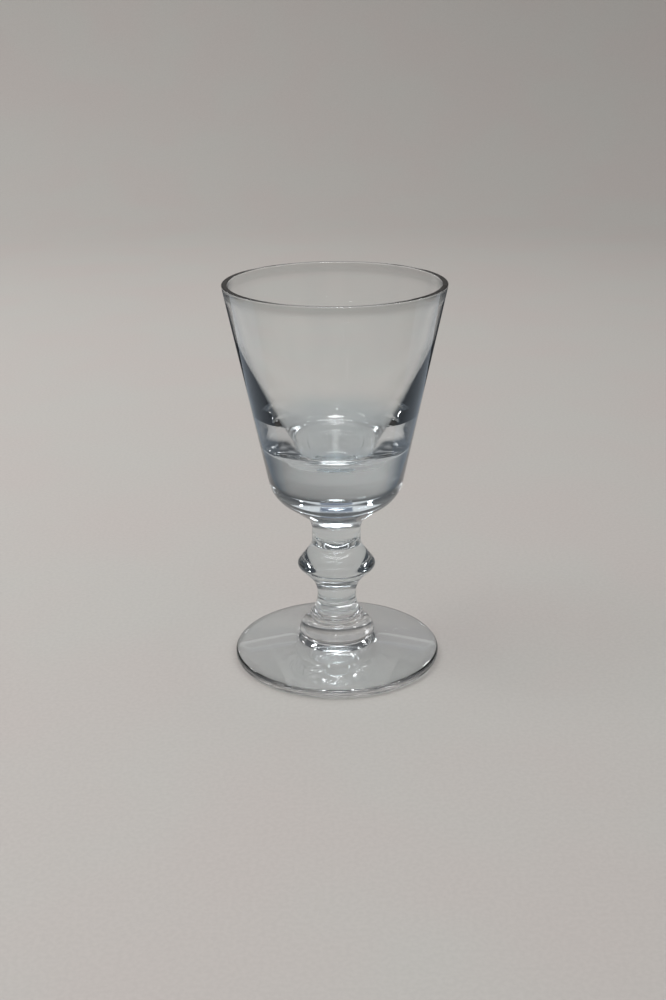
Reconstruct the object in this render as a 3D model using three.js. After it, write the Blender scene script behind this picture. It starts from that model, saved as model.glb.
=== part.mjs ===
// Port glass: a conical bowl with a heavy solid base, on a knopped stem, a bell collar and a wide round foot.
// Millimetres, +Z up. The origin is the centre of the ring that the foot stands on.
import * as THREE from "three";

// Foot: a low cone that thins to a rounded edge, hollowed underneath so that only its outer ring stands
const FOOT_DIAMETER = 59.7;
const FOOT_HEIGHT = 6.4;
const FOOT_EDGE_THICKNESS = 2.1;
const FOOT_EDGE_ROUNDING = 0.9;
const FOOT_REST_WIDTH = 2.4;
const FOOT_HOLLOW_HEIGHT = 1.4;
const FOOT_FLARE_WIDTH = 1.2;
const FOOT_FLARE_HEIGHT = 0.8;
const FOOT_FLARE_ROUNDING = 5;

// Collar: a bell with a rounded bead on top, tucked in where it meets the foot
const COLLAR_HEIGHT = 7;
const COLLAR_DIAMETER = 21.9;
const COLLAR_TUCK_WIDTH = 0.55;
const COLLAR_TUCK_HEIGHT = 0.5;
const COLLAR_TUCK_ROUNDING = 0.5;
const COLLAR_SHOULDER_DROP = 1.4;
const COLLAR_SHOULDER_ROUNDING = 5.4;
const BEAD_HEIGHT = 1.6;
const BEAD_LEDGE_WIDTH = 0.86;
const BEAD_ROUNDING = 0.84;

// Stem: two necks and a knop, drawn out of one gather of glass
const STEM_HEIGHT = 25.6;
const STEM_ROOT_DIAMETER = 13.8;
const LOWER_NECK_DIAMETER = 11.2;
const LOWER_NECK_HEIGHT = 2.6;
const LOWER_NECK_LENGTH = 6.1;
const LOWER_NECK_ROUNDING = 11;
const UPPER_NECK_DIAMETER = 14;
const UPPER_NECK_LENGTH = 4.6;
const KNOP_DIAMETER = 22.4;
const KNOP_RIM_HEIGHT = 15;
const KNOP_RIM_THICKNESS = 0.9;
const KNOP_RIM_ROUNDING = 1.2;
const KNOP_UPPER_ROUNDING = 4.2;
const KNOP_LOWER_ROUNDING = 8;

// Bowl: a straight-sided cone with a flat lip that is thickened inwards and a round lower corner
const BOWL_HEIGHT = 71;
const BOWL_BASE_DIAMETER = 36.5;
const BOWL_BASE_HEIGHT = 11.1;
const BOWL_BASE_ROUNDING = 10.2;
const BOWL_NECK_HEIGHT = 3;
const BOWL_NECK_ROUNDING = 5.6;
const LIP_DIAMETER = 61.05;
const LIP_THICKNESS = 1.75;
const LIP_ROUNDING = 0.25;
const LIP_FOOT_DROP = 2.4;
const LIP_FOOT_ROUNDING = 8;

// Cavity: its wall thickens downwards to a ledge round a shallow well, far above the bowl's base
const WALL_AT_LIP = 1.1;
const WALL_AT_BEND = 1.55;
const BEND_HEIGHT = 44.5;
const BEND_ROUNDING = 115;
const WALL_AT_LEDGE = 7.2;
const LEDGE_HEIGHT = 24.3;
const LEDGE_FALL = 0.4;
const LEDGE_ROUNDING = 6;
const WELL_DIAMETER = 18.4;
const WELL_FLOOR_DIAMETER = 16.6;
const WELL_DEPTH = 1.8;
const WELL_ROUNDING = 0.8;

// Facets: sides of each turned piece, and how far a chord may stray from its arc
const TURNED_SIDES = 56;
const CHORD_ERROR = 0.035;
const WIDEST_ARC_STEP = THREE.MathUtils.degToRad(20);
const SAME_POINT = 1e-4;

// Looks: clear glass with a faint cool grey tint
const GLASS_COLOUR = 0xe3e8e8;
const GLASS_ROUGHNESS = 0.03;
const GLASS_OPACITY = 0.35;

// Radii at the seams, where two pieces meet face to face
const bowlSeamRadius = UPPER_NECK_DIAMETER / 2;
const stemSeamRadius = STEM_ROOT_DIAMETER / 2;
const collarSeamRadius = COLLAR_DIAMETER / 2 - COLLAR_TUCK_WIDTH;

// A corner of an outline: radius from the axis, height, and the rounding that it gets
function corner(radius, height, rounding = 0) {
  return { at: new THREE.Vector2(radius, height), rounding };
}

// How far a corner's rounding reaches along each of its two sides
function reachOf({ at, rounding }, before, after) {
  const back = before.at.clone().sub(at);
  const ahead = after.at.clone().sub(at);
  const turn = Math.PI - back.angleTo(ahead);
  return { turn, reach: rounding * Math.tan(turn / 2) };
}

// Points along the arc that rounds one corner, with its reach cut down by share where a side is short
function arcPoints(here, before, after, { turn, reach }, share) {
  const start = here.at.clone().lerp(before.at, (reach * share) / here.at.distanceTo(before.at));
  const end = here.at.clone().lerp(after.at, (reach * share) / here.at.distanceTo(after.at));
  const radius = here.rounding * share;
  const middle = start.clone().add(end).multiplyScalar(0.5);
  const inward = middle.clone().sub(here.at).normalize();
  const centre = here.at.clone().addScaledVector(inward, radius / Math.cos(turn / 2));
  const step = Math.min(WIDEST_ARC_STEP, 2 * Math.acos(1 - CHORD_ERROR / Math.max(radius, CHORD_ERROR)));
  const steps = Math.ceil(turn / step);
  const first = start.clone().sub(centre);
  const sense = Math.sign(first.cross(end.clone().sub(centre)));
  return Array.from({ length: steps + 1 }, (_, i) =>
    start.clone().rotateAround(centre, (sense * turn * i) / steps),
  );
}

// An outline's corners turned into points, with each rounding limited by the sides that it shares
function roundedOutline(corners) {
  const inner = (i) => i > 0 && i < corners.length - 1 && corners[i].rounding > 0;
  const reaches = corners.map((c, i) =>
    inner(i) ? reachOf(c, corners[i - 1], corners[i + 1]) : { turn: 0, reach: 0 },
  );
  const shareOfSide = (i) => {
    const length = corners[i].at.distanceTo(corners[i + 1].at);
    const wanted = reaches[i].reach + reaches[i + 1].reach;
    return wanted > length ? length / wanted : 1;
  };
  return corners.flatMap((c, i) => {
    if (!inner(i)) return [c.at];
    const share = Math.min(shareOfSide(i - 1), shareOfSide(i));
    return arcPoints(c, corners[i - 1], corners[i + 1], reaches[i], share);
  });
}

// A solid of revolution about Z; its outline runs from the axis, round the outside and back to the axis
function turnedPiece(name, corners, height) {
  const isNew = (p, i, all) => i === 0 || p.distanceTo(all[i - 1]) > SAME_POINT;
  const points = roundedOutline(corners).filter(isNew);
  const geometry = new THREE.LatheGeometry(points, TURNED_SIDES);
  geometry.rotateX(Math.PI / 2);
  const material = new THREE.MeshStandardMaterial({
    color: GLASS_COLOUR,
    roughness: GLASS_ROUGHNESS,
    metalness: 0,
    transparent: true,
    opacity: GLASS_OPACITY,
  });
  const mesh = new THREE.Mesh(geometry, material);
  mesh.name = name;
  mesh.position.z = height;
  return mesh;
}

function footCorners() {
  const edge = FOOT_DIAMETER / 2;
  const restOuter = edge - FOOT_EDGE_ROUNDING;
  return [
    corner(0, FOOT_HOLLOW_HEIGHT),
    corner(restOuter - FOOT_REST_WIDTH, 0),
    corner(edge, 0, FOOT_EDGE_ROUNDING),
    corner(edge, FOOT_EDGE_THICKNESS, FOOT_EDGE_ROUNDING),
    corner(collarSeamRadius + FOOT_FLARE_WIDTH, FOOT_HEIGHT - FOOT_FLARE_HEIGHT, FOOT_FLARE_ROUNDING),
    corner(collarSeamRadius, FOOT_HEIGHT),
    corner(0, FOOT_HEIGHT),
  ];
}

function collarCorners() {
  const bell = COLLAR_DIAMETER / 2;
  const bead = stemSeamRadius + BEAD_LEDGE_WIDTH;
  const beadFoot = COLLAR_HEIGHT - BEAD_HEIGHT;
  return [
    corner(0, 0),
    corner(collarSeamRadius, 0),
    corner(bell, COLLAR_TUCK_HEIGHT, COLLAR_TUCK_ROUNDING),
    corner(bell, beadFoot - COLLAR_SHOULDER_DROP, COLLAR_SHOULDER_ROUNDING),
    corner(bead, beadFoot),
    corner(bead, COLLAR_HEIGHT, BEAD_ROUNDING),
    corner(stemSeamRadius, COLLAR_HEIGHT),
    corner(0, COLLAR_HEIGHT),
  ];
}

function stemCorners() {
  const lowerNeck = LOWER_NECK_DIAMETER / 2;
  const knop = KNOP_DIAMETER / 2;
  const halfRim = KNOP_RIM_THICKNESS / 2;
  return [
    corner(0, 0),
    corner(stemSeamRadius, 0),
    corner(lowerNeck, LOWER_NECK_HEIGHT, LOWER_NECK_ROUNDING),
    corner(lowerNeck, LOWER_NECK_HEIGHT + LOWER_NECK_LENGTH, KNOP_LOWER_ROUNDING),
    corner(knop, KNOP_RIM_HEIGHT - halfRim, KNOP_RIM_ROUNDING),
    corner(knop, KNOP_RIM_HEIGHT + halfRim, KNOP_RIM_ROUNDING),
    corner(bowlSeamRadius, STEM_HEIGHT - UPPER_NECK_LENGTH, KNOP_UPPER_ROUNDING),
    corner(bowlSeamRadius, STEM_HEIGHT),
    corner(0, STEM_HEIGHT),
  ];
}

// The shallow well in the cavity's floor, from its edge to the axis
function wellCorners(edgeHeight) {
  const floorHeight = edgeHeight - WELL_DEPTH;
  return [
    corner(WELL_DIAMETER / 2, edgeHeight, WELL_ROUNDING),
    corner(WELL_FLOOR_DIAMETER / 2, floorHeight, WELL_ROUNDING),
    corner(0, floorHeight),
  ];
}

function bowlCorners() {
  const base = BOWL_BASE_DIAMETER / 2;
  const lip = LIP_DIAMETER / 2;
  const lipFoot = BOWL_HEIGHT - LIP_FOOT_DROP;
  const outsideAt = (height) =>
    THREE.MathUtils.mapLinear(height, BOWL_BASE_HEIGHT, BOWL_HEIGHT, base, lip);
  return [
    corner(0, 0),
    corner(bowlSeamRadius, 0),
    corner(bowlSeamRadius, BOWL_NECK_HEIGHT, BOWL_NECK_ROUNDING),
    corner(base, BOWL_BASE_HEIGHT, BOWL_BASE_ROUNDING),
    corner(lip, BOWL_HEIGHT, LIP_ROUNDING),
    corner(lip - LIP_THICKNESS, BOWL_HEIGHT, LIP_ROUNDING),
    corner(outsideAt(lipFoot) - WALL_AT_LIP, lipFoot, LIP_FOOT_ROUNDING),
    corner(outsideAt(BEND_HEIGHT) - WALL_AT_BEND, BEND_HEIGHT, BEND_ROUNDING),
    corner(outsideAt(LEDGE_HEIGHT) - WALL_AT_LEDGE, LEDGE_HEIGHT, LEDGE_ROUNDING),
    ...wellCorners(LEDGE_HEIGHT - LEDGE_FALL),
  ];
}

const glass = new THREE.Group();
glass.add(turnedPiece("foot", footCorners(), 0));
glass.add(turnedPiece("base_collar", collarCorners(), FOOT_HEIGHT));
glass.add(turnedPiece("stem", stemCorners(), FOOT_HEIGHT + COLLAR_HEIGHT));
glass.add(turnedPiece("bowl", bowlCorners(), FOOT_HEIGHT + COLLAR_HEIGHT + STEM_HEIGHT));

export default glass;
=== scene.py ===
"""Looks of the port glass: turned pieces of clear glass on a pale table, from the photograph's angle."""
import math

import bpy
import numpy as np
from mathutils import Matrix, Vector


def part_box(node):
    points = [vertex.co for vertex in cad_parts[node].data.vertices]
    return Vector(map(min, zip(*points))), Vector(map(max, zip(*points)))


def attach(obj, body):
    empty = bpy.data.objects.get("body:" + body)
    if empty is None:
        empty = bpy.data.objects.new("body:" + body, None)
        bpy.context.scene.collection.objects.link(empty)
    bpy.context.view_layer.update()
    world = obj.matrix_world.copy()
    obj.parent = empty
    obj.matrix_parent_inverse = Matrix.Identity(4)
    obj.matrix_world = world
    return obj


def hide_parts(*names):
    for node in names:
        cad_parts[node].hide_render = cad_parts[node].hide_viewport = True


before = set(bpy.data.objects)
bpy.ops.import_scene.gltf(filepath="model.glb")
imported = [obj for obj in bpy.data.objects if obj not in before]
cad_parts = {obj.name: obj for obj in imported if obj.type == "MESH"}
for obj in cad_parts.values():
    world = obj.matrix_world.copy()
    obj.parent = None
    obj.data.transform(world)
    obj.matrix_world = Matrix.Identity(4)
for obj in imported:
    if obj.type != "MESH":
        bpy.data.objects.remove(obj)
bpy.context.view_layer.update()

# Pieces, from the foot up. Neighbours were stuck to each other hot, and share a flat seam.
PIECES = ("foot", "base_collar", "stem", "bowl")
TURNS = 184                     # columns of faces round the axis
LONGEST_RUN = 0.0024            # straight runs of an outline are cut to this length before it is smoothed
MOST_GROWTH = 2.5               # and until none is longer than this many times the run beside it
SAME_RUN = 0.01                 # share by which two runs of one rounding may differ in length
SMOOTHING_ROUNDS = 2            # each round doubles the points of an outline
WELD = 1e-6                     # vertices nearer than this are the same point

# Glass: clear walls and foot, a cool tint where it is thick, faint cords from the making, and a dark tint
# where it is seen edge on, partly painted shade. The foot's tint holds a little painted shade too.
GLASS_IOR = 1.5
GLASS_ROUGHNESS = 0.0
# The foot's tint is a faint cool tint and partly painted shade: it darkens the floor seen through the foot
FOOT_TINT_AND_SHADE = (0.945, 0.968, 0.98, 1.0)
STEM_TINT = (0.83, 0.885, 0.905, 1.0)
BASE_TINT = (0.77, 0.84, 0.88, 1.0)
WALL_TINT = (0.985, 1.0, 0.998, 1.0)
EDGE_TINT_AND_SHADE = (0.28, 0.32, 0.36, 1.0)
STEM_TINT_FADE = (-0.0012, 0.0012)  # heights above the collar's top between which the stem's tint sets in
BASE_TINT_FADE = (0.0, 0.006)       # heights above the bowl's bottom, for the tint of its solid base
WALL_TINT_FADE = (0.0036, 0.0108)   # heights above the cavity's floor, for the tint of the bowl's wall
EDGE_FADE = (0.62, 0.95)        # from seen at a slant to seen edge on, where light runs far through the wall; the dark edge tint is partly painted shade
CORD_SCALE = (160.0, 160.0, 25.0)
CORD_DETAIL = 1.0
CORD_LIMITS = (0.3, 0.6)        # values of the noise between which one colour changes to the other
CORD_COLOURS = ((0.98, 0.985, 0.99, 1.0), (1.0, 1.0, 1.0, 1.0))

# Table: round, curving up into a low wall. Its paint is palest near the glass and behind it, and painted
# shade darkens it far behind, on the wall, to the sides, in front and towards the right.
TABLE_RADIUS = 0.75
TABLE_DROP = 0.0002             # a hair below the foot, so that light gets under its ring
WALL_CURVE = 0.35
WALL_CURVE_STEPS = 24
WALL_HEIGHT = 0.46
PAINT_ROUGHNESS = 0.9
TABLE_COLOUR = (0.515, 0.491, 0.47, 1.0)
# Painted shade: the far colour for light falling off with distance, and the wall, side and front colours for
# the dim room round the table, which the glass's edges show
FAR_SHADE_COLOUR = (0.457, 0.435, 0.416, 1.0)
WALL_SHADE_COLOUR = (0.17, 0.17, 0.172, 1.0)
SIDE_SHADE_COLOUR = (0.09, 0.1, 0.112, 1.0)
FRONT_SHADE_COLOUR = (0.21, 0.21, 0.205, 1.0)
FAR_FADE = (0.3, 1.05)          # distances behind the glass between which the paint changes to the far one, a painted falloff of light
WALL_FADE = (0.22, 0.42)        # heights between which it changes to the wall's
FRONT_FADE = (0.18, 0.32)       # distances in front of the glass between which it changes to the front's
VIEW_OFFSET = 0.12              # half width that the camera sees at the glass, with some spare
VIEW_SLOPE = 0.25               # growth of that half width with the distance behind the glass
SIDE_FADE = 0.16                # width beside the view over which the paint changes to the side's
SIDE_FADE_SLOPE = 0.5           # growth of that width with the distance behind the glass
ACROSS_SHADE_FADE = (-0.5, 0.5)       # painted shade: the paint darkens evenly from left to right between these places, as under a light from the left
ACROSS_SHADE_COLOURS = ((1.14, 1.14, 1.14, 1.0), (0.86, 0.86, 0.86, 1.0))
PATCH_SCALE = 14.0              # faint pinkish and greenish patches
PATCH_COLOURS = ((1.0, 0.975, 0.97, 1.0), (0.985, 1.0, 0.99, 1.0))
GRAIN_SCALE = 900.0             # fine grain
GRAIN_COLOURS = ((0.975, 0.975, 0.975, 1.0), (1.02, 1.02, 1.02, 1.0))
PAINT_DETAIL = 2.0
PAINT_LIMITS = (0.3, 0.7)       # values of the noise between which one colour changes to the other

# Cards lying on the table to the left and right, which only reflections show. The dark ones are painted
# shade, which darkens the edge of the bowl's upper wall, and the bluish ones a painted reflection, which
# tints the bands in its lower wall.
DARK_CARD = (0.06, 0.066, 0.074, 1.0)
BLUE_CARD = (0.47, 0.53, 0.6, 1.0)
CARD_X = (0.09, 0.24)
DARK_CARD_Y = (0.22, 0.47)
BLUE_CARD_Y = (0.0, 0.22)
CARD_LIFT = 0.001

# Camera: fitted to the ellipses of the rim and the foot
CAMERA_PLACE = (-0.00089, -0.3571, 0.1832)
CAMERA_PITCH = math.radians(20.8)
CAMERA_ROLL = math.radians(-0.424)
CAMERA_LENS = 48.3              # millimetres, on a 36 mm sensor

# Room: even light on the table. The camera and the glass see dim walls, and a ceiling with a bright panel.
DAYLIGHT = (0.97, 0.97, 0.97, 1.0)
SIDE_WALLS = (0.06, 0.067, 0.075, 1.0)
BACK_WALL = (0.1, 0.102, 0.106, 1.0)
BACK_WALL_FADE = (0.3, 0.8)     # how far back a direction points, from the side walls to the back wall
CEILING_LIGHT = (0.5, 0.51, 0.52, 1.0)
CEILING_FADE = (math.sin(math.radians(42)), math.sin(math.radians(75)))
PANEL_LIGHT = (18.0, 18.0, 18.0, 1.0)
PANEL_REACH = math.tan(math.radians(12))
PANEL_FADE = 0.025

# Window in the back wall, with a dim bluish bar in its middle; their edges as slopes of the lines of sight
WINDOW_LIGHT = (0.83, 0.82, 0.82, 1.0)
WINDOW_BOTTOM = math.tan(math.radians(20.7))
WINDOW_TOP = math.tan(math.radians(25.6))
WINDOW_SPREAD = math.tan(math.radians(43))
WINDOW_FADE = 0.025
BAR_LIGHT = (0.16, 0.19, 0.26, 1.0)
BAR_BOTTOM = math.tan(math.radians(20.9))
BAR_TOP = math.tan(math.radians(25.4))
BAR_SPREAD = math.tan(math.radians(12))
BAR_FADE = 0.03

# Spots of light for single glints: azimuth from +X towards +Y, height and reach, in degrees
SPOT_LIGHT = (9.0, 9.0, 9.0, 1.0)
SPOT_CORE = 0.8                 # share of the reach that is fully bright
SPOTS = ((64, 21.5, 2), (115, 22, 2.5), (70, 34.5, 2.5), (122, 40, 3), (53, 49, 3),
         (3, 52, 4), (266, 38, 4))

# Lamp overhead on the left
LAMP_PLACE = (-0.8, -0.1, 1.1)
LAMP_SIZE = 0.5
LAMP_POWER = 3.4

# Light is followed for so many bounces, and so many of them may be reflections.
# With more reflections the dark bands in the bowl's lower wall turn light and speckled.
BOUNCES = 24
REFLECTIONS = 8

# A colour mix node's sockets: the share and the two colours, and the result
MIX_INPUTS = (0, 6, 7)
MIX_RESULT = 2


def outline_of(turned):
    """A turned node's outline on the +X side as (radius, height) points, from its lower axis point up."""
    mesh = turned.data
    place = {}
    index = []
    for vertex in mesh.vertices:
        key = tuple(round(c / WELD) for c in vertex.co)
        index.append(place.setdefault(key, len(place)))
    points = {i: (key[0] * WELD, key[2] * WELD) for key, i in place.items() if key[1] == 0 and key[0] >= 0}
    neighbours = {i: set() for i in points}
    for edge in mesh.edges:
        a, b = (index[v] for v in edge.vertices)
        if a != b and a in points and b in points:
            neighbours[a].add(b)
            neighbours[b].add(a)
    here = min((i for i, (r, z) in points.items() if r == 0), key=lambda i: points[i][1])
    walked = [here]
    while True:
        ahead = [i for i in neighbours[here] if i not in walked]
        if not ahead:
            return np.array([points[i] for i in walked])
        here = ahead[0]
        walked.append(here)


def bulges(steps, runs):
    """How far the middle of each run lies off the straight line.

    Runs of one rounding are equally long and turn alike, and each is the chord of an arc.
    """
    turns = np.diff(np.unwrap(np.arctan2(steps[:, 1], steps[:, 0])))
    turns[abs(np.diff(runs)) > SAME_RUN * runs[1:]] = 0
    before = np.append(0, turns)
    after = np.append(turns, 0)
    bend = np.where(abs(before) > abs(after), before, after)
    outwards = np.column_stack((steps[:, 1], -steps[:, 0]))
    return outwards * np.tan(bend / 4)[:, None] / 2


def evenly_cut(outline):
    """The outline with its runs halved until none is too long, or much longer than the runs beside it."""
    while True:
        steps = np.diff(outline, axis=0)
        runs = np.linalg.norm(steps, axis=1)
        beside = np.minimum(np.append(runs[1:], np.inf), np.append(np.inf, runs[:-1]))
        too_long = np.flatnonzero(runs > np.minimum(LONGEST_RUN, MOST_GROWTH * beside))
        if not len(too_long):
            return outline
        halves = (outline[:-1] + outline[1:]) / 2 + bulges(steps, runs)
        outline = np.insert(outline, too_long + 1, halves[too_long], axis=0)


def smoothed(outline):
    """The outline as a cubic B-spline, by repeated cutting in half; its two ends stay."""
    for _ in range(SMOOTHING_ROUNDS):
        halves = (outline[:-1] + outline[1:]) / 2
        # A point keeps six eighths of its place, and takes one eighth from each neighbour
        kept = outline.copy()
        kept[1:-1] = (outline[:-2] + 6 * outline[1:-1] + outline[2:]) / 8
        finer = np.empty((2 * len(outline) - 1, 2))
        finer[0::2] = kept
        finer[1::2] = halves
        outline = finer
    return outline


def turned_mesh(name, outline):
    """A smooth mesh, turned about Z from (radius, height) points."""
    angles = np.linspace(0, 2 * math.pi, TURNS, endpoint=False)
    rings = []
    vertices = []
    for r, z in outline:
        if r < WELD:
            rings.append([len(vertices)] * TURNS)
            vertices.append((0.0, 0.0, z))
        else:
            rings.append(list(range(len(vertices), len(vertices) + TURNS)))
            vertices.extend((r * math.cos(a), r * math.sin(a), z) for a in angles)
    faces = []
    for low, high in zip(rings[:-1], rings[1:]):
        for i in range(TURNS):
            j = (i + 1) % TURNS
            # On the axis two corners are one vertex, and the face is a triangle
            corners = [low[i], low[j], high[j], high[i]]
            faces.append(list(dict.fromkeys(corners)))
    mesh = bpy.data.meshes.new(name)
    mesh.from_pydata(vertices, [], faces)
    mesh.polygons.foreach_set("use_smooth", [True] * len(faces))
    mesh.update()
    return mesh


def node(tree, kind, inputs=None, **settings):
    """A new shader node with its settings, and with its inputs set to values or linked to sockets."""
    made = tree.nodes.new(kind)
    for key, value in settings.items():
        setattr(made, key, value)
    for key, value in (inputs or {}).items():
        if isinstance(value, bpy.types.NodeSocket):
            tree.links.new(value, made.inputs[key])
        else:
            made.inputs[key].default_value = value
    return made


def math_node(tree, operation, *values):
    """A sum, product or the like of numbers or sockets."""
    return node(tree, "ShaderNodeMath", dict(enumerate(values)), operation=operation).outputs[0]


def vector_math(tree, operation, first, second):
    """The outputs of a node that multiplies two vectors."""
    return node(tree, "ShaderNodeVectorMath", {0: first, 1: second}, operation=operation).outputs


def noise(tree, place, scale, detail):
    """Soft noise, which seldom strays far from one half."""
    inputs = {"Vector": place, "Scale": scale, "Detail": detail}
    return node(tree, "ShaderNodeTexNoise", inputs).outputs["Fac"]


def ramp(tree, value, low, high):
    """0 where value is on low's side, 1 beyond high, smooth between."""
    inputs = {"Value": value, "From Min": low, "From Max": high}
    made = node(tree, "ShaderNodeMapRange", inputs, interpolation_type="SMOOTHSTEP")
    return made.outputs["Result"]


def mixed(tree, share, first, second, way="MIX"):
    """The colour between first and second."""
    inputs = dict(zip(MIX_INPUTS, (share, first, second)))
    return node(tree, "ShaderNodeMix", inputs, data_type="RGBA", blend_type=way).outputs[MIX_RESULT]


def multiplied(tree, first, second):
    """Two colours, the one on top of the other."""
    return mixed(tree, 1.0, first, second, "MULTIPLY")


def tint_above(tree, height, start, fade, below, above):
    """One tint below a height and another above it; the fade between them is counted from that height."""
    return mixed(tree, ramp(tree, height, start + fade[0], start + fade[1]), below, above)


def glass_material(cavity_floor):
    """Clear glass, tinted by height: foot, stem, the bowl's solid base, and its walls; the foot's tint holds
    some painted shade, and glass seen edge on is darkened, partly as painted shade.
    """
    material = bpy.data.materials.new("clear_glass")
    material.use_nodes = True
    tree = material.node_tree
    place = node(tree, "ShaderNodeTexCoord").outputs["Object"]
    height = node(tree, "ShaderNodeSeparateXYZ", {"Vector": place}).outputs["Z"]
    collar_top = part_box("base_collar")[1][2]
    bowl_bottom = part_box("bowl")[0][2]
    # The foot's tint holds painted shade as well as the glass's colour
    tint = tint_above(tree, height, collar_top, STEM_TINT_FADE, FOOT_TINT_AND_SHADE, STEM_TINT)
    tint = tint_above(tree, height, bowl_bottom, BASE_TINT_FADE, tint, BASE_TINT)
    tint = tint_above(tree, height, cavity_floor, WALL_TINT_FADE, tint, WALL_TINT)
    drawn = vector_math(tree, "MULTIPLY", place, CORD_SCALE)["Vector"]
    cords = noise(tree, drawn, 1.0, CORD_DETAIL)
    tint = multiplied(tree, tint, mixed(tree, ramp(tree, cords, *CORD_LIMITS), *CORD_COLOURS))
    # Glass seen edge on takes a dark tint: partly the long run of light through the wall, partly painted
    # shade for its dark edges
    slant = node(tree, "ShaderNodeLayerWeight").outputs["Facing"]
    tint = mixed(tree, ramp(tree, slant, *EDGE_FADE), tint, EDGE_TINT_AND_SHADE)
    shader = tree.nodes["Principled BSDF"]
    tree.links.new(tint, shader.inputs["Base Color"])
    shader.inputs["Roughness"].default_value = GLASS_ROUGHNESS
    shader.inputs["IOR"].default_value = GLASS_IOR
    shader.inputs["Transmission Weight"].default_value = 1.0
    return material


def glass_pieces():
    """Each piece is open at its seams, where the glass runs on into its neighbour."""
    outlines = [outline_of(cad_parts[name]) for name in PIECES]
    cavity_floor = outlines[-1][-1][1]
    clear = glass_material(cavity_floor)
    for name, outline in zip(PIECES, outlines):
        # An outline's end on the axis closes a seam, except under the foot and on the cavity's floor
        if name != PIECES[0]:
            outline = outline[1:]
        if name != PIECES[-1]:
            outline = outline[:-1]
        mesh = turned_mesh(name + "_glass", smoothed(evenly_cut(outline)))
        mesh.materials.append(clear)
        piece = bpy.data.objects.new(name + "_glass", mesh)
        bpy.context.scene.collection.objects.link(piece)
        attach(piece, "root")
        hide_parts(name)


def matt_paint(name):
    """A new material of paint without gloss, and its shader."""
    material = bpy.data.materials.new(name)
    material.use_nodes = True
    shader = material.node_tree.nodes["Principled BSDF"]
    shader.inputs["Roughness"].default_value = PAINT_ROUGHNESS
    shader.inputs["Specular IOR Level"].default_value = 0.0
    return material, shader


def table_material():
    """Pale paint near and behind the glass, with painted shade: darker far behind, on the wall, to the
    sides, in front and towards the right.
    """
    material, shader = matt_paint("table_paint_and_shade")
    tree = material.node_tree
    place = node(tree, "ShaderNodeTexCoord").outputs["Object"]
    x, y, z = node(tree, "ShaderNodeSeparateXYZ", {"Vector": place}).outputs
    back = math_node(tree, "MAXIMUM", y, 0.0)
    half_width = math_node(tree, "MULTIPLY_ADD", back, VIEW_SLOPE, VIEW_OFFSET)
    beyond = math_node(tree, "SUBTRACT", math_node(tree, "ABSOLUTE", x), half_width)
    fade = math_node(tree, "MULTIPLY_ADD", back, SIDE_FADE_SLOPE, SIDE_FADE)
    aside = ramp(tree, math_node(tree, "DIVIDE", beyond, fade), 0.0, 1.0)
    in_front = ramp(tree, math_node(tree, "MULTIPLY", y, -1.0), *FRONT_FADE)
    # Painted shade: darker far behind, on the wall, in front and to the sides
    colour = mixed(tree, ramp(tree, y, *FAR_FADE), TABLE_COLOUR, FAR_SHADE_COLOUR)
    colour = mixed(tree, ramp(tree, z, *WALL_FADE), colour, WALL_SHADE_COLOUR)
    colour = mixed(tree, in_front, colour, FRONT_SHADE_COLOUR)
    colour = mixed(tree, aside, colour, SIDE_SHADE_COLOUR)
    patches = noise(tree, place, PATCH_SCALE, PAINT_DETAIL)
    grain = noise(tree, place, GRAIN_SCALE, PAINT_DETAIL)
    # Painted shade, darker to the right as under the light from the left; then the paint's own patches and
    # grain
    colour = multiplied(tree, colour, mixed(tree, ramp(tree, x, *ACROSS_SHADE_FADE), *ACROSS_SHADE_COLOURS))
    colour = multiplied(tree, colour, mixed(tree, ramp(tree, patches, *PAINT_LIMITS), *PATCH_COLOURS))
    colour = multiplied(tree, colour, mixed(tree, ramp(tree, grain, *PAINT_LIMITS), *GRAIN_COLOURS))
    tree.links.new(colour, shader.inputs["Base Color"])
    return material


def stage():
    """A round table that curves up into a low wall all round."""
    outline = [(0.0, 0.0), (TABLE_RADIUS, 0.0)]
    for k in range(1, WALL_CURVE_STEPS + 1):
        a = k / WALL_CURVE_STEPS * math.pi / 2
        outline.append((TABLE_RADIUS + WALL_CURVE * math.sin(a), WALL_CURVE * (1 - math.cos(a))))
    outline.append((TABLE_RADIUS + WALL_CURVE, WALL_HEIGHT))
    mesh = turned_mesh("table", outline)
    mesh.flip_normals()
    mesh.materials.append(table_material())
    table = bpy.data.objects.new("table", mesh)
    table.location.z = -TABLE_DROP
    bpy.context.scene.collection.objects.link(table)


def cards(name, colour, reach):
    """A pair of cards to the left and right, seen in reflections alone; reach is from front to back."""
    material, shader = matt_paint(name)
    shader.inputs["Base Color"].default_value = colour
    near, far = CARD_X
    front, back = reach
    corners = ((near, front), (far, front), (far, back), (near, back))
    for side in (-1, 1):
        mesh = bpy.data.meshes.new(name)
        mesh.from_pydata([(side * x, y, CARD_LIFT) for x, y in corners], [], [(0, 1, 2, 3)])
        mesh.materials.append(material)
        card = bpy.data.objects.new(name, mesh)
        card.visible_camera = False
        card.visible_diffuse = False
        card.visible_transmission = False
        card.visible_shadow = False
        bpy.context.scene.collection.objects.link(card)


def camera():
    """The photograph's camera, rolled about its own axis and then tipped down from level."""
    data = bpy.data.cameras.new("camera")
    data.lens = CAMERA_LENS
    seen = bpy.data.objects.new("camera", data)
    seen.location = CAMERA_PLACE
    seen.rotation_mode = "ZYX"
    seen.rotation_euler = (math.pi / 2 - CAMERA_PITCH, 0, CAMERA_ROLL)
    bpy.context.scene.collection.objects.link(seen)
    bpy.context.scene.camera = seen


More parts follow.
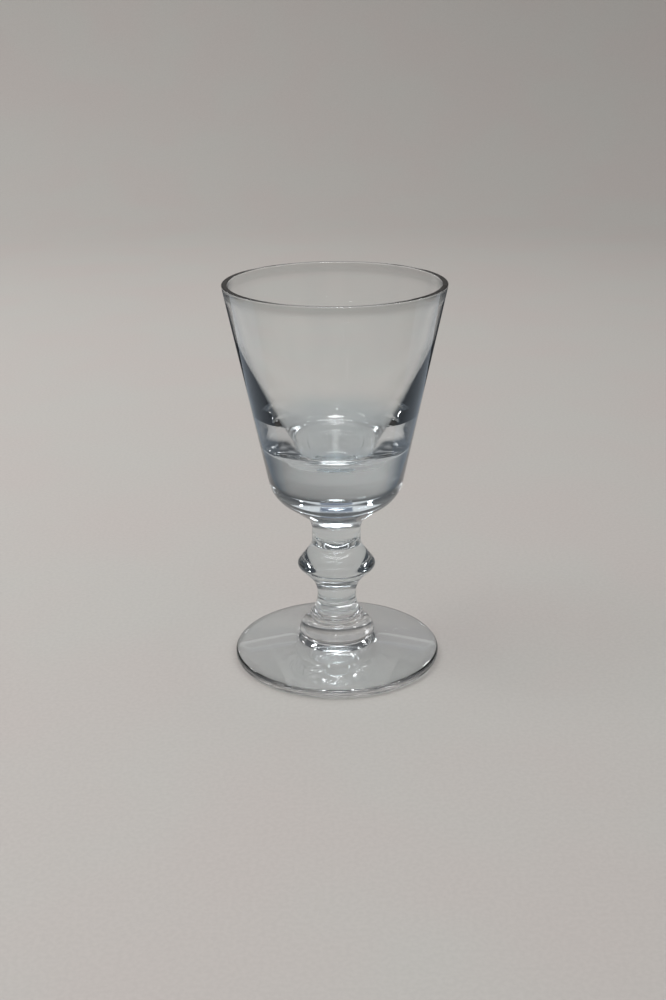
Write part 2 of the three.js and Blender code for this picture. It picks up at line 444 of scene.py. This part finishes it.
def ceiling_lamp():
    """A square lamp that shines on the foot from overhead. Reflections don't show it."""
    data = bpy.data.lights.new("ceiling_lamp", "AREA")
    data.shape = "SQUARE"
    data.size = LAMP_SIZE
    data.energy = LAMP_POWER
    lamp = bpy.data.objects.new("ceiling_lamp", data)
    lamp.location = LAMP_PLACE
    lamp.rotation_euler = Vector(LAMP_PLACE).to_track_quat("Z", "Y").to_euler()
    lamp.visible_glossy = False
    bpy.context.scene.collection.objects.link(lamp)


def pane(tree, way, bottom, top, spread, fade):
    """1 inside a pane on the back wall, between two heights and as far as spread to each side."""
    x, y, z = way
    above = ramp(tree, math_node(tree, "MULTIPLY_ADD", y, -bottom, z), 0.0, fade)
    below = ramp(tree, math_node(tree, "MULTIPLY_ADD", y, -top, z), 0.0, -fade)
    half_width = math_node(tree, "MULTIPLY", y, spread)
    inside = math_node(tree, "SUBTRACT", half_width, math_node(tree, "ABSOLUTE", x))
    across = ramp(tree, inside, 0.0, fade)
    return math_node(tree, "MULTIPLY", math_node(tree, "MULTIPLY", above, below), across)


def spot(tree, direction, azimuth, height, reach):
    """1 inside a round spot of light, given in degrees."""
    a, h, r = (math.radians(v) for v in (azimuth, height, reach))
    middle = (math.cos(a) * math.cos(h), math.sin(a) * math.cos(h), math.sin(h))
    near = vector_math(tree, "DOT_PRODUCT", direction, middle)["Value"]
    return ramp(tree, near, math.cos(r), math.cos(r * SPOT_CORE))


def panel(tree, way):
    """1 inside a square panel overhead, which stands on its corner."""
    x, y, z = way
    aside = math_node(tree, "ADD", math_node(tree, "ABSOLUTE", x), math_node(tree, "ABSOLUTE", y))
    inside = math_node(tree, "SUBTRACT", math_node(tree, "MULTIPLY", z, PANEL_REACH), aside)
    return ramp(tree, inside, 0.0, PANEL_FADE)


def room():
    """Even light on the table. The camera and the glass see walls, ceiling, panel, spots and window."""
    world = bpy.data.worlds.new("room")
    bpy.context.scene.world = world
    world.use_nodes = True
    tree = world.node_tree
    direction = node(tree, "ShaderNodeTexCoord").outputs["Generated"]
    way = list(node(tree, "ShaderNodeSeparateXYZ", {"Vector": direction}).outputs)
    back, up = way[1:]
    picture = mixed(tree, ramp(tree, back, *BACK_WALL_FADE), SIDE_WALLS, BACK_WALL)
    picture = mixed(tree, ramp(tree, up, *CEILING_FADE), picture, CEILING_LIGHT)
    picture = mixed(tree, panel(tree, way), picture, PANEL_LIGHT)
    for place in SPOTS:
        picture = mixed(tree, spot(tree, direction, *place), picture, SPOT_LIGHT)
    window = pane(tree, way, WINDOW_BOTTOM, WINDOW_TOP, WINDOW_SPREAD, WINDOW_FADE)
    bar = pane(tree, way, BAR_BOTTOM, BAR_TOP, BAR_SPREAD, BAR_FADE)
    picture = mixed(tree, window, picture, WINDOW_LIGHT)
    picture = mixed(tree, bar, picture, BAR_LIGHT)
    path = node(tree, "ShaderNodeLightPath").outputs
    seen = math_node(tree, "MAXIMUM", path["Is Camera Ray"], path["Is Glossy Ray"])
    seen = math_node(tree, "MAXIMUM", seen, path["Is Transmission Ray"])
    unscattered = math_node(tree, "LESS_THAN", path["Diffuse Depth"], 1.0)
    light = mixed(tree, math_node(tree, "MULTIPLY", seen, unscattered), DAYLIGHT, picture)
    tree.links.new(light, tree.nodes["Background"].inputs["Color"])


def render_settings():
    """Bounces enough for thick glass, and nothing that blurs or dims its glints."""
    scene = bpy.context.scene
    scene.view_settings.view_transform = "Standard"
    scene.cycles.max_bounces = BOUNCES
    scene.cycles.transmission_bounces = BOUNCES
    scene.cycles.glossy_bounces = REFLECTIONS
    scene.cycles.caustics_refractive = True
    scene.cycles.caustics_reflective = True
    scene.cycles.blur_glossy = 0.0
    scene.cycles.sample_clamp_indirect = 0.0


glass_pieces()
stage()
cards("dark_card", DARK_CARD, DARK_CARD_Y)
cards("blue_card", BLUE_CARD, BLUE_CARD_Y)
camera()
ceiling_lamp()
room()
render_settings()
